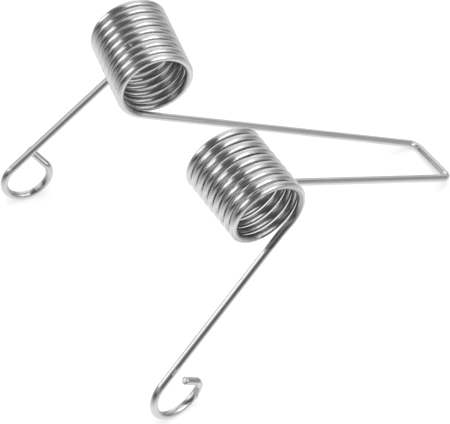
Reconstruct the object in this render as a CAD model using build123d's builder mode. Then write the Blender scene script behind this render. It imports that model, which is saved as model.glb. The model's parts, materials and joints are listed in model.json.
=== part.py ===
from build123d import *
from dataclasses import dataclass
from math import atan2, copysign, cos, degrees, pi, radians, sin, tan
import os

# Double torsion spring: one length of round wire, bent outwards from the middle of its bridge.
#
# Each half runs from the bridge's crossbar along a leg, round a coil, down a second leg and into a hook.
# The two halves are wound as mirror images. Their hooks differ, and so do the small angles to which the
# coils and hook legs have sprung.
#
# Frame: origin in the middle of the crossbar, on the wire's centre line. +Z is up with the spring
# standing on its crossbar and both hooks, +X points out of the bridge and +Y towards the closed hook.

# Wire
wire_diameter = 2.0
end_chamfer = 0.15  # where the wire was cut off

# Bridge, measured on the wire's centre line
crossbar_length = 16.0  # between the points where the legs' lines meet the crossbar's
corner_radius = 2.5
bridge_leg_length = 85.5  # straight part
bridge_leg_flare = 5.0  # degrees that each leg opens from the middle plane

# Coils
coil_mean_diameter = 19.0
coil_gap = 0.45  # clear space between neighbouring turns, along the coil's axis
coil_turns = 8.81
coil_flare = 3.5  # degrees that the wire bends outwards on its way into the coil

# Hook legs
hook_leg_length = 47.0  # straight part
gentle_radius = 40.0  # of the slight bends on both sides of a coil
lip_radius = 2.3  # of the sharp bend before a hook's straight end


@dataclass
class Side:
    """What differs between the two halves. Angles are in degrees."""

    hand: int  # +1 for the half on the +Y side, -1 for its mirror image
    coil_roll: float  # twist in the bridge leg before the coil
    hook_leg_flare: float  # outward bend where the hook leg leaves the coil
    hook_radius: float
    hook_sweep: float
    lip_roll: float  # turn of the lip out of the hook's plane
    lip_sweep: float
    lip_length: float


closed_side = Side(+1, -12.0, -5.5, 6.3, 251.0, -52.0, 26.0, 6.4)
open_side = Side(-1, 8.0, 5.5, 7.5, 202.0, 7.0, 86.0, 3.6)

coil_radius = coil_mean_diameter / 2
coil_pitch = wire_diameter + coil_gap
coil_length = coil_pitch * coil_turns
lead_angle = degrees(atan2(coil_pitch, pi * coil_mean_diameter))


# A tip is a Location at the end of the wire: its Z axis points along the wire, and its X axis to the
# side that a positive bend turns to. Each move draws its run of centre line and returns the new tip.
def straight(tip, length):
    end = tip * Location((0, 0, length))
    Line(tip.position, end.position)
    return end


def roll(tip, angle):
    return tip * Location((0, 0, 0), (0, 0, angle))


def bend(tip, radius, angle):
    def partway(share):
        turned = radians(angle * share)
        side = copysign(radius, angle)
        return tip * Location((side * (1 - cos(turned)), 0, side * sin(turned)), (0, angle * share, 0))

    middle, end = partway(0.5), partway(1)
    ThreePointArc(tip.position, middle.position, end.position)
    return end


def coil(tip, hand):
    to_axis = Location((coil_radius, 0, 0), (hand * lead_angle, 0, 0))
    along_coil = Location((0, hand * coil_length, 0), (0, 360 * coil_turns, 0))
    axis = Plane(tip * to_axis)
    helix = Helix(coil_pitch, coil_length, coil_radius, lefthand=hand < 0, mode=Mode.PRIVATE)
    add(Plane(axis.origin, x_dir=-axis.x_dir, z_dir=axis.y_dir * hand) * helix)
    return tip * to_axis * along_coil * to_axis.inverse()


def half_of_wire(side):
    """Draw one half of the centre line. Returns the tips where its corner, hook and cut end lie."""
    outwards = 90 * side.hand
    corner_sweep = 90 - bridge_leg_flare
    corner_setback = corner_radius * tan(radians(corner_sweep / 2))

    tip = Plane((0, 0, 0), x_dir=(-1, 0, 0), z_dir=(0, side.hand, 0)).location
    corner = straight(tip, crossbar_length / 2 - corner_setback)
    tip = bend(corner, corner_radius, corner_sweep)
    tip = straight(tip, bridge_leg_length)
    tip = roll(tip, side.hand * side.coil_roll)
    tip = bend(tip, gentle_radius, -coil_flare)
    tip = coil(roll(tip, outwards), side.hand)
    tip = bend(roll(tip, outwards), gentle_radius, side.hook_leg_flare)
    hook = roll(straight(tip, hook_leg_length), outwards)
    tip = bend(hook, side.hook_radius, side.hook_sweep)
    tip = bend(roll(tip, side.hand * side.lip_roll), lip_radius, side.lip_sweep)
    return corner, hook, straight(tip, side.lip_length)


def lowest_point(bend_start, radius, up):
    """The lowest point of a bend's centre line where up is upwards."""
    across = bend_start.y_axis.direction
    downhill = (across * up.dot(across) - up).normalized()
    return (bend_start * Location((radius, 0, 0))).position + downhill * radius


def standing_frame(corners, closed_hook, open_hook):
    """The frame whose Z axis is upright when the lower corner and both hooks touch the floor."""
    up = Vector(-1, 0, 2)  # roughly, to start from
    for _ in range(10):  # the slope of the floor and the points that touch it settle together
        front = min((lowest_point(tip, corner_radius, up) for tip in corners), key=up.dot)
        left = lowest_point(closed_hook, closed_side.hook_radius, up)
        right = lowest_point(open_hook, open_side.hook_radius, up)
        up = (left - front).cross(right - front).normalized()
    return Plane((0, 0, 0), x_dir=(1, 0, 0), z_dir=up)


with BuildLine() as centre_line:
    closed_corner, closed_hook, closed_end = half_of_wire(closed_side)
    open_corner, open_hook, open_end = half_of_wire(open_side)

to_standing = standing_frame((closed_corner, open_corner), closed_hook, open_hook).location.inverse()

with BuildPart() as spring:
    with BuildSketch(Plane(to_standing * closed_end)):
        Circle(wire_diameter / 2)
    sweep(path=centre_line.wire().moved(to_standing))
    chamfer(spring.faces().filter_by(GeomType.PLANE).edges(), end_chamfer)

spring.part.label = "spring"
os.makedirs("parts", exist_ok=True)
export_step(spring.part, "parts/spring.step")
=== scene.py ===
"""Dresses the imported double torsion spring: bright drawn spring wire, standing on a white studio floor.

The wire is made by the same moves that bend the real one, from the middle of the bridge's crossbar
outwards to both hooks. Lengths are in millimetres until a mesh or a lamp is made, and angles in degrees.
"""

import bpy
import json
import random
from math import atan2, ceil, cos, degrees, exp, pi, radians, sin, tan
from mathutils import Matrix, Vector


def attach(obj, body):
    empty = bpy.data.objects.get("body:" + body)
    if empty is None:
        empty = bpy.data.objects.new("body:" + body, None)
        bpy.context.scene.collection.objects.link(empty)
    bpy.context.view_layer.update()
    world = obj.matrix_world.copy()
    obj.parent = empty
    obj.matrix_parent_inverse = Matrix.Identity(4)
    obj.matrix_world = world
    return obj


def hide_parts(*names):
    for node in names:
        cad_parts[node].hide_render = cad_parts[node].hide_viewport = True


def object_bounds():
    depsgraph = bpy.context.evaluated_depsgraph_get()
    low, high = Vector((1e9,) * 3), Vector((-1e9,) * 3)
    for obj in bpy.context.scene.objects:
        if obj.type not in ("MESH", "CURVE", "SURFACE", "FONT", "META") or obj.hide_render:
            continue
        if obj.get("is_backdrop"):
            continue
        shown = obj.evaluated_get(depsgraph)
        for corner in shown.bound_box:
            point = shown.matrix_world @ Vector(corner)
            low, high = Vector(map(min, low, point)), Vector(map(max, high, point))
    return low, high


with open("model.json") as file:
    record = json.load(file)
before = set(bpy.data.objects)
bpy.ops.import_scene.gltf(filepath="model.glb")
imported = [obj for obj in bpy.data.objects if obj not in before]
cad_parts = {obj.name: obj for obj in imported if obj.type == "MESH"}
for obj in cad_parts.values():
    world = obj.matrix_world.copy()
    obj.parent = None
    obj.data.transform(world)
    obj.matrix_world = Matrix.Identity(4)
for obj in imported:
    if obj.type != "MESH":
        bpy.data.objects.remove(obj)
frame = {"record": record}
cad_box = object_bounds()

MM = 0.001

# Wire
WIRE_DIAMETER = 2.0
END_CHAMFER = 0.15

# Bridge, on the wire's centre line
CROSSBAR_LENGTH = 16.0  # between the points where the legs' lines meet the crossbar's
CORNER_RADIUS = 2.5
BRIDGE_LEG_LENGTH = 85.5
BRIDGE_LEG_FLARE = 5.0

# Coils
COIL_MEAN_DIAMETER = 19.0
COIL_GAP = 0.45  # clear space between neighbouring turns
COIL_TURNS = 8.81
COIL_FLARE = 3.5

# Hook legs
HOOK_LEG_LENGTH = 47.0
GENTLE_RADIUS = 40.0
LIP_RADIUS = 2.3

# How finely the wire is meshed
WIRE_SIDES = 40
COIL_STEP = 4.0  # degrees between rings
BEND_STEP = 2.5
RING_SPACING = 0.5  # along straight runs
CAP_RINGS = 5
CUT_DOME = 0.12
CUT_SLANT = 0.2  # how much further an end's face runs out at its bottom than at its top
CUT_RIM = 0.8  # share of the radius that its rim, darkened as a painted shadow, leaves
CUT_SEED = 5
TEAR_HEIGHT = 0.02  # how far the torn metal stands up or lies down
TORN_RIM = 0.5  # how torn the rim counts, next to 1 inside it

# What the mesh notes of each point for the steel's finish
NOTES = (
    ("unbent", "FLOAT_VECTOR"),  # the same point on the wire before it was bent, in mm
    ("around", "FLOAT_VECTOR"),  # the direction round the wire, across its drawing lines
    ("shaded_side", "FLOAT"),  # mask of the painted shade: from 1 on the side that lay on the mandrel to -1, less beyond its span
    ("worked", "FLOAT"),  # 1 where a tool pressed into the wire
    ("torn", "FLOAT"),  # 1 on the cut ends, TORN_RIM on their rims
)

# Marks of the bending tools: where each starts and ends along the unbent wire, the middle of its side of the
# wire and its half-width there in degrees, and its depth. Places are measured from the middle of the
# crossbar, and those on the open hook's half are negative.
TOOL_MARKS = (
    (5.6, 8.2, 0, 50, 0.03),
    (-8.4, -6.0, 10, 50, 0.03),
    (230.5, 231.0, -27, 35, 0.04),
    (297.7, 298.2, -63, 30, 0.03),
    (692.4, 694.4, -108, 50, 0.05),
    (-572.6, -571.4, 175, 40, 0.06),
    (-670.6, -668.6, 155, 20, 0.05),
    (-699.3, -698.4, 165, 50, -0.16),
    (-703.6, -699.3, -150, 80, 0.10),
)
MARK_EDGE = 0.3  # how far a mark's slope reaches along the wire
FULLY_WORKED = 0.03  # depth from which a mark scuffs the metal fully
SHADE_FADE = 1.5  # how far the painted shade of the coils' bores fades out along the wire

# Camera, aimed at a point in the row's frame
CAMERA_TARGET = Vector((-66.88, -7.47, 21.20))
CAMERA_DISTANCE = 936.9
CAMERA_AZIMUTH = -119.30  # of the camera seen from its target, from +X towards +Y
CAMERA_ELEVATION = 48.45
CAMERA_ROLL = 1.82
CAMERA_LENS = 294.2
SENSOR_WIDTH = 36.0

# Floor: reflected at a low slant it dims, less so on its bright side
FLOOR_HALF_WIDTH = 2000.0
FLOOR_GLOW = 0.6  # share of the floor's white that the eye and the metal see whatever the lamps do
PAPER_WHITE = 0.92
BRIGHT_SIDE = 30.0  # azimuth
DIM_PLACE = -150.0
BRIGHT_PLACE = 120.0
DIM_GLOW = 0.15  # at a low slant, from the dim place on
BRIGHT_GLOW = 0.6  # at a low slant, from the bright place on
LOW_SLANT = 0.9  # from 0 seen from straight above to 1 seen edge on
HIGH_SLANT = 0.27  # up to here the floor is fully white

# Shades on the studio's walls, painted in this order: azimuth, elevation, radius of the full shade, radius
# where it ends, colour
WALL_SHADE = "#C0C0C0"
WALL_PATCHES = (
    (-30, 60, 43, 54, "#FFFFFF"),
    (74, -5, 58, 66, "#FFFFFF"),
    (-92, 40, 22, 50, "#616161"),
    (168, 64, 10, 32, "#5B5B5B"),
    (-10, 4, 1, 50, "#ACACAC"),
    (114, 25, 1, 33, "#777777"),
    (-166, -10, 18, 33, "#404040"),
)


# --- the wire's course -------------------------------------------------------------------------------


class HalfWire:
    """Half of the wire, bent move by move. Its tip's Z axis points along the wire and its X axis to the
    side that a positive bend turns to. Each station is (tip, length, spin, radius), with the length and
    spin so far."""

    def __init__(self, start, hand):
        self.tip = start
        self.hand = hand  # +1 winds to the side with the closed hook, -1 is its mirror image
        self.length = 0.0
        self.spin = 0.0  # how far the tip has been rolled about the wire
        self.stations = [(start, 0.0, 0.0, WIRE_DIAMETER / 2)]
        # Where the painted shade of the coil's bore and of the gaps between its turns starts and ends, the
        # spin that faces it to the mandrel, and how far it reaches round to the flanks
        self.shade_span = None

    def advance(self, partway, length, count, end_radius=WIRE_DIAMETER / 2):
        """Move the tip along partway, which gives the tip's place for a share of the way from 0 to 1."""
        start, start_length = self.tip, self.length
        for i in range(1, count + 1):
            self.tip = start @ partway(i / count)
            self.length = start_length + length * i / count
            radius = end_radius if i == count else WIRE_DIAMETER / 2
            self.stations.append((self.tip, self.length, self.spin, radius))

    def straight(self, length, end_radius=WIRE_DIAMETER / 2):
        count = ceil(length / RING_SPACING)
        self.advance(lambda share: Matrix.Translation((0, 0, length * share)), length, count, end_radius)

    def roll(self, angle):
        self.tip = self.tip @ Matrix.Rotation(radians(angle), 4, "Z")
        self.spin += radians(angle)

    def bend(self, radius, angle):
        side = radius if angle > 0 else -radius

        def partway(share):
            turned = radians(angle * share)
            shift = Matrix.Translation((side * (1 - cos(turned)), 0, side * sin(turned)))
            return shift @ Matrix.Rotation(turned, 4, "Y")

        self.advance(partway, radius * radians(abs(angle)), ceil(abs(angle) / BEND_STEP))

    def coil(self, shade_run, shade_creep):
        pitch = WIRE_DIAMETER + COIL_GAP
        around = pi * COIL_MEAN_DIAMETER
        lead_angle = self.hand * atan2(pitch, around)
        to_axis = Matrix.Translation((COIL_MEAN_DIAMETER / 2, 0, 0)) @ Matrix.Rotation(lead_angle, 4, "X")
        from_axis = to_axis.inverted()

        def partway(share):
            climb = Matrix.Translation((0, self.hand * pitch * COIL_TURNS * share, 0))
            return to_axis @ climb @ Matrix.Rotation(2 * pi * COIL_TURNS * share, 4, "Y") @ from_axis

        length = COIL_TURNS * (around**2 + pitch**2) ** 0.5
        self.shade_span = (self.length, self.length + length + shade_run, self.spin, shade_creep)
        self.advance(partway, length, ceil(360 * COIL_TURNS / COIL_STEP))


def bent_half(stance, hand, coil_roll, shade_reach, hook_leg_flare, hook, lip):
    """Bend half of the wire. The fourth argument places the painted shade of the coil's bore (how far it runs
    on down the hook leg, how far it reaches round to the flanks), hook is (radius, sweep), and lip is (roll,
    sweep, length)."""
    # The tip sets out along the crossbar, and a positive bend turns it towards the coils
    start = Matrix(((-1, 0, 0, 0), (0, 0, hand, 0), (0, hand, 0, 0), (0, 0, 0, 1)))
    wire = HalfWire(stance @ start, hand)
    corner_sweep = 90 - BRIDGE_LEG_FLARE
    wire.straight(CROSSBAR_LENGTH / 2 - CORNER_RADIUS * tan(radians(corner_sweep / 2)))
    wire.bend(CORNER_RADIUS, corner_sweep)
    wire.straight(BRIDGE_LEG_LENGTH)
    wire.roll(hand * coil_roll)
    wire.bend(GENTLE_RADIUS, -COIL_FLARE)
    wire.roll(hand * 90)
    wire.coil(*shade_reach)
    wire.roll(hand * 90)
    wire.bend(GENTLE_RADIUS, hook_leg_flare)
    wire.straight(HOOK_LEG_LENGTH)
    wire.roll(hand * 90)
    wire.bend(*hook)
    lip_roll, lip_sweep, lip_length = lip
    wire.roll(hand * lip_roll)
    wire.bend(LIP_RADIUS, lip_sweep)
    wire.straight(lip_length - END_CHAMFER)
    wire.straight(END_CHAMFER, end_radius=WIRE_DIAMETER / 2 - END_CHAMFER)
    return wire


def stance_of(record):
    """How the bridge leans as the spring stands, worked out from the crossbar's stated direction."""
    crossbar = next(m for m in record["mounts"] if m["name"] == "crossbar")
    across = Vector(crossbar["axis"]).normalized()
    out_of_bridge = across.cross(Vector((0, 1, 0))).normalized()
    return Matrix((out_of_bridge, across, out_of_bridge.cross(across))).transposed().to_4x4()


# --- the wire's mesh ---------------------------------------------------------------------------------


class Skin:
    """The wire's surface: points, faces, and what the steel's finish needs to know about each point."""

    def __init__(self):
        self.points = []
        self.faces = []
        self.notes = []  # of each point, as NOTES lists them

    def ring(self, half, station, share=1.0, lift=0.0, tear=None):
        """Add one ring of points. On an end face, share shrinks it and tear makes it ragged."""
        tip, length, spin, radius = station
        shade_start, shade_end, shade_spin, shade_creep = half.shade_span
        past_shade = max(shade_start - length, length - shade_end, 0.0) / SHADE_FADE
        place = half.hand * length
        first = len(self.points)
        for k in range(WIRE_SIDES):
            angle = 2 * pi * k / WIRE_SIDES
            local = half.hand * angle - spin
            pressed = pressed_in(place, degrees(angle))
            reach = share * (radius - pressed)
            height = lift
            if tear:
                up = tip.to_3x3().transposed() @ Vector((0, 0, 1))
                rise = up.x * cos(local) + up.y * sin(local)
                height += tear.uniform(-TEAR_HEIGHT, TEAR_HEIGHT) - CUT_SLANT * reach * rise
            self.points.append(tip @ Vector((reach * cos(local), reach * sin(local), height)))
            self.notes.append((
                Vector((reach * cos(angle), reach * sin(angle), place + half.hand * height)),
                tip.to_3x3() @ Vector((-sin(local), cos(local), 0)),
                cos(half.hand * angle - shade_spin) + shade_creep - past_shade,
                min(abs(pressed) / FULLY_WORKED, 1.0),
                0.0 if not tear else TORN_RIM if share > CUT_RIM else 1.0,
            ))
        return first

    def band(self, lower, upper, turned=False):
        """Join two rings with faces."""
        for k in range(WIRE_SIDES):
            across = (k + 1) % WIRE_SIDES
            face = (lower + k, lower + across, upper + across, upper + k)
            self.faces.append(face[::-1] if turned else face)

    def cut_face(self, half, rim, turned):
        """Close an end with the torn and slightly domed face that cutting pliers leave."""
        tear = random.Random(half.hand + CUT_SEED)
        outer = rim
        for i in range(1, CAP_RINGS + 1):
            share = 1 - i / (CAP_RINGS + 0.5)
            inner = self.ring(half, half.stations[-1], share, CUT_DOME * (1 - share**2), tear)
            self.band(outer, inner, turned)
            outer = inner
        middle = tuple(outer + k for k in range(WIRE_SIDES))
        self.faces.append(middle[::-1] if turned else middle)

    def piece(self, name):
        mesh = bpy.data.meshes.new(name)
        mesh.from_pydata([p * MM for p in self.points], [], self.faces)
        for (title, kind), values in zip(NOTES, zip(*self.notes)):
            layer = mesh.attributes.new(title, kind, "POINT")
            if kind == "FLOAT":
                layer.data.foreach_set("value", values)
            else:
                layer.data.foreach_set("vector", [c for v in values for c in v])
        mesh.polygons.foreach_set("use_smooth", [True] * len(mesh.polygons))
        mesh.update()
        return bpy.data.objects.new(name, mesh)


def pressed_in(place, side):
    """How deep the bending tools pressed into the wire at a place along it, on one side in degrees."""
    depth = 0.0
    for start, end, middle, half_width, mark_depth in TOOL_MARKS:
        inside = min(place - start, end - place) / MARK_EDGE + 0.5  # 0.5 at each end, half-way down the slope
        if inside > 0:
            off = (side - middle + 180) % 360 - 180
            depth += mark_depth * min(inside, 1) * exp(-((off / half_width) ** 2))
    return depth


def skin_wire(name, closed_half, open_half):
    """One closed mesh over both halves of the wire, from the open hook's end to the closed hook's."""
    skin = Skin()
    firsts = [skin.ring(open_half, station) for station in reversed(open_half.stations)]
    firsts += [skin.ring(closed_half, station) for station in closed_half.stations[1:]]
    for lower, upper in zip(firsts, firsts[1:]):
        skin.band(lower, upper)
    skin.cut_face(open_half, firsts[0], turned=True)
    skin.cut_face(closed_half, firsts[-1], turned=False)
    return skin.piece(name)


# --- materials ---------------------------------------------------------------------------------------


def linear(hex_colour):
    """The linear RGBA of an sRGB hex colour."""
    channels = [int(hex_colour[i : i + 2], 16) / 255 for i in (1, 3, 5)]
    return (*(c / 12.92 if c <= 0.04045 else ((c + 0.055) / 1.055) ** 2.4 for c in channels), 1.0)


def add_node(tree, kind, inputs=None, **settings):
    """Add a node with its settings, and give each named input a value or link it to an output."""
    node = tree.nodes.new("ShaderNode" + kind)
    for name, value in settings.items():
        setattr(node, name, value)
    for name, value in (inputs or {}).items():
        if isinstance(value, bpy.types.NodeSocket):
            tree.links.new(value, node.inputs[name])
        else:
            node.inputs[name].default_value = value
    return node


def new_material(name):
    material = bpy.data.materials.new(name)
    material.use_nodes = True
    material.node_tree.nodes.clear()
    return material, material.node_tree


def drawn_spring_steel():
    """Bright drawn and burnished spring steel: long, crisp highlights along the wire, broken up by faint
    drawing lines."""
    material, tree = new_material("drawn_spring_steel")
    unbent = add_node(tree, "Attribute", attribute_name="unbent").outputs["Vector"]
    around = add_node(tree, "Attribute", attribute_name="around").outputs["Vector"]
    shaded_side = add_node(tree, "Attribute", attribute_name="shaded_side").outputs["Fac"]
    worked = add_node(tree, "Attribute", attribute_name="worked").outputs["Fac"]
    torn = add_node(tree, "Attribute", attribute_name="torn").outputs["Fac"]

    # Drawing lines, which run on for 20 mm and more. Real ones are some 0.1 mm apart, too fine to show, so
    # these are 0.4 mm apart.
    drawn_out = add_node(tree, "VectorMath", {0: unbent, 1: (1.0, 1.0, 0.02)}, operation="MULTIPLY")
    lines = add_node(tree, "TexNoise", {
        "Vector": drawn_out.outputs["Vector"], "Scale": 2.5, "Detail": 2.0, "Roughness": 0.6,
    }).outputs["Fac"]
    # Clouds of a few millimetres, where the oil was wiped off better
    clouds = add_node(tree, "TexNoise", {"Vector": unbent, "Scale": 0.35, "Detail": 2.0}).outputs["Fac"]
    # Pits of 0.2 mm
    grain = add_node(tree, "TexNoise", {"Vector": unbent, "Scale": 2.4, "Detail": 1.0}).outputs["Fac"]
    pits = add_node(tree, "MapRange", {"Value": grain, "From Min": 0.70, "From Max": 0.76}).outputs[0]
    # The tools' marks, 0.3 mm rough
    rough_grain = add_node(tree, "TexNoise", {"Vector": unbent, "Scale": 3.0, "Detail": 2.0}).outputs["Fac"]
    patchy = add_node(tree, "MapRange", {"Value": rough_grain, "From Min": 0.35, "From Max": 0.6}).outputs[0]
    scuffs = add_node(tree, "Math", {0: worked, 1: patchy}, operation="MULTIPLY").outputs[0]
    # A cut end is half as rough as a mark
    half_torn = add_node(tree, "Math", {0: torn, 1: 0.5}, operation="MULTIPLY").outputs[0]
    scuffs = add_node(tree, "Math", {0: scuffs, 1: half_torn}, operation="MAXIMUM").outputs[0]

    # Painted shade: a darker grey on the mandrel's side of the coils, in their bores and the gaps between
    # turns, and a little way down the hook legs
    painted_bore_shade = add_node(tree, "MapRange", {
        "Value": shaded_side, "From Min": 0.1, "From Max": 0.7,
    }, interpolation_type="SMOOTHSTEP").outputs[0]
    colour = add_node(tree, "Mix", {
        0: clouds, 6: linear("#CACACA"), 7: linear("#D6D6D6"),
    }, data_type="RGBA").outputs[2]
    # A scuff bares brighter metal. A cut end gets a painted shadow along its rim, and inside it is bare cut
    # metal painted near white, brightened further as a painted highlight.
    rim = add_node(tree, "MapRange", {"Value": torn, "From Max": TORN_RIM}).outputs[0]
    inside = add_node(tree, "MapRange", {"Value": torn, "From Min": TORN_RIM, "From Max": 0.8}).outputs[0]
    coats = ((painted_bore_shade, "#A6A6A6"), (pits, "#B4B4B4"), (scuffs, "#F4F4F4"), (rim, "#6E6E6E"), (inside, "#FAFAFA"))
    for share, shade in coats:
        colour = add_node(tree, "Mix", {0: share, 6: colour, 7: linear(shade)}, data_type="RGBA").outputs[2]

    gloss = add_node(tree, "MapRange", {
        "Value": lines, "From Min": 0.3, "From Max": 0.7, "To Min": 0.14, "To Max": 0.23,
    }).outputs[0]
    roughness = add_node(tree, "MapRange", {"Value": scuffs, "To Min": gloss, "To Max": 0.55}).outputs[0]
    relief = add_node(tree, "Bump", {"Strength": 0.5, "Distance": 0.00008, "Height": lines}).outputs[0]
    relief = add_node(tree, "Bump", {
        "Strength": scuffs, "Distance": 0.0002, "Height": rough_grain, "Normal": relief,
    }).outputs[0]
    surface = add_node(tree, "BsdfPrincipled", {
        "Base Color": colour,
        "Metallic": 1.0,
        "Roughness": roughness,
        "Anisotropic": 0.4,
        "Tangent": around,
        "Normal": relief,
    })
    add_node(tree, "OutputMaterial", {"Surface": surface.outputs["BSDF"]})
    return material


def studio_floor():
    """White paper sweep: the eye sees it white, and it keeps the spring's soft shadow. In the metal it dims
    at a low slant, which shades the sides of the wire."""
    material, tree = new_material("white_paper_floor")
    ray = add_node(tree, "LightPath").outputs
    seen = add_node(tree, "Math", {
        0: ray["Is Camera Ray"], 1: ray["Is Glossy Ray"],
    }, operation="ADD").outputs[0]
    seen = add_node(tree, "Math", {0: seen, 1: ray["Is Transmission Ray"]}, operation="ADD").outputs[0]
    share = add_node(tree, "Math", {0: seen, 1: FLOOR_GLOW}, operation="MULTIPLY").outputs[0]

    place = add_node(tree, "TexCoord").outputs["Object"]
    bright_side = direction(BRIGHT_SIDE, 0)
    along = add_node(tree, "VectorMath", {0: place, 1: bright_side}, operation="DOT_PRODUCT").outputs["Value"]
    faintest = add_node(tree, "MapRange", {
        "Value": along,
        "From Min": DIM_PLACE * MM,
        "From Max": BRIGHT_PLACE * MM,
        "To Min": DIM_GLOW,
        "To Max": BRIGHT_GLOW,
    }, interpolation_type="SMOOTHSTEP").outputs[0]
    slant = add_node(tree, "LayerWeight", {"Blend": 0.5}).outputs["Facing"]
    glow = add_node(tree, "MapRange", {
        "Value": slant,
        "From Min": LOW_SLANT,
        "From Max": HIGH_SLANT,
        "To Min": faintest,
        "To Max": 1.0,
    }).outputs[0]
    glow = add_node(tree, "Math", {0: glow, 1: ray["Is Camera Ray"]}, operation="MAXIMUM").outputs[0]

    shade = add_node(tree, "Math", {0: glow, 1: PAPER_WHITE}, operation="MULTIPLY").outputs[0]
    paper = add_node(tree, "BsdfDiffuse", {"Color": shade})
    white = add_node(tree, "Emission", {"Color": linear("#FFFFFF"), "Strength": glow})
    both = add_node(tree, "MixShader", {0: share, 1: paper.outputs[0], 2: white.outputs[0]})
    add_node(tree, "OutputMaterial", {"Surface": both.outputs[0]})
    return material


# --- studio ------------------------------------------------------------------------------------------


def direction(azimuth, elevation):
    a, e = radians(azimuth), radians(elevation)
    return Vector((cos(a) * cos(e), sin(a) * cos(e), sin(e)))


def make_camera():
    back = direction(CAMERA_AZIMUTH, CAMERA_ELEVATION)
    right = Vector((0, 0, 1)).cross(back).normalized()
    level = Matrix((right, back.cross(right), back)).transposed()
    data = bpy.data.cameras.new("camera")
    data.sensor_width = SENSOR_WIDTH
    data.lens = CAMERA_LENS
    camera = bpy.data.objects.new("camera", data)
    turned = level @ Matrix.Rotation(radians(CAMERA_ROLL), 3, "Z")
    place = (CAMERA_TARGET + back * CAMERA_DISTANCE) * MM
    camera.matrix_world = Matrix.Translation(place) @ turned.to_4x4()
    bpy.context.scene.collection.objects.link(camera)
    bpy.context.scene.camera = camera


def softbox(name, azimuth, elevation, distance, width, height, radiance, tilt=0, in_gloss=True):
    """A rectangular lamp that faces the spring. At radiance 1 its reflection in a mirror is white."""
    low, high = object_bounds()
    centre = (low + high) / 2
    data = bpy.data.lights.new(name, "AREA")
    data.shape = "RECTANGLE"
    data.size, data.size_y = width * MM, height * MM
    data.energy = radiance * pi * data.size * data.size_y
    lamp = bpy.data.objects.new(name, data)
    toward = direction(azimuth, elevation)
    lamp.location = centre + toward * distance * MM
    facing = toward.to_track_quat("Z", "Y").to_matrix() @ Matrix.Rotation(radians(tilt), 3, "Z")
    lamp.rotation_euler = facing.to_euler()
    lamp.visible_glossy = in_gloss
    bpy.context.scene.collection.objects.link(lamp)


def studio_room():
    """The room that the metal reflects: grey walls with white sheets and dark flags."""
    world = bpy.data.worlds.new("studio_room")
    world.use_nodes = True
    bpy.context.scene.world = world
    tree = world.node_tree
    tree.nodes.clear()
    looking = add_node(tree, "TexCoord").outputs["Generated"]
    colour = linear(WALL_SHADE)
    for azimuth, elevation, full, edge, shade in WALL_PATCHES:
        toward = add_node(tree, "VectorMath", {
            0: looking, 1: direction(azimuth, elevation),
        }, operation="DOT_PRODUCT").outputs["Value"]
        patch = add_node(tree, "MapRange", {
            "Value": toward, "From Min": cos(radians(edge)), "From Max": cos(radians(full)),
        }, interpolation_type="SMOOTHSTEP").outputs[0]
        colour = add_node(tree, "Mix", {0: patch, 6: colour, 7: linear(shade)}, data_type="RGBA").outputs[2]
    room = add_node(tree, "Background", {"Color": colour, "Strength": 1.0})
    add_node(tree, "OutputWorld", {"Surface": room.outputs["Background"]})


def lay_floor(height):
    mesh = bpy.data.meshes.new("studio_floor")
    half = FLOOR_HALF_WIDTH * MM
    corners = [(-half, -half, 0), (half, -half, 0), (half, half, 0), (-half, half, 0)]
    mesh.from_pydata(corners, [], [(0, 1, 2, 3)])
    floor = bpy.data.objects.new("studio_floor", mesh)
    floor.location.z = height
    floor.data.materials.append(studio_floor())
    bpy.context.scene.collection.objects.link(floor)
    floor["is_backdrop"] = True


# --- putting it together -----------------------------------------------------------------------------

stance = stance_of(frame["record"])
closed_half = bent_half(
    stance,
    +1,
    coil_roll=-12.0,
    shade_reach=(50.0, 0.0),
    hook_leg_flare=-5.5,
    hook=(6.3, 251.0),
    lip=(-52.0, 26.0, 6.4),
)
open_half = bent_half(
    stance,
    -1,
    coil_roll=8.0,
    shade_reach=(6.5, 0.4),
    hook_leg_flare=5.5,
    hook=(7.5, 202.0),
    lip=(7.0, 86.0, 3.6),
)
wire = skin_wire("spring_wire", closed_half, open_half)
wire.data.materials.append(drawn_spring_steel())
bpy.context.scene.collection.objects.link(wire)
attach(wire, "root")
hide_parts("spring")

lay_floor(cad_box[0].z)
studio_room()
softbox(
    "key_softbox", azimuth=-71, elevation=32, distance=700, tilt=-10,
    width=390, height=640, radiance=1.5,
)
softbox(
    "key_scrim", azimuth=-63, elevation=32, distance=720, tilt=-10,
    width=590, height=760, radiance=0.38,
)
softbox(
    "top_softbox", azimuth=-64, elevation=64, distance=700, tilt=-19,
    width=445, height=187, radiance=0.9,
)
softbox(
    "rim_softbox", azimuth=74, elevation=7, distance=700,
    width=405, height=170, radiance=1.35,
)
softbox(
    "side_softbox", azimuth=144, elevation=26, distance=700, tilt=31,
    width=1180, height=296, radiance=1.15,
)
softbox(
    "floor_softbox", azimuth=0, elevation=90, distance=900,
    width=900, height=900, radiance=3.2, in_gloss=False,
)
make_camera()
bpy.context.scene.view_settings.view_transform = "Standard"
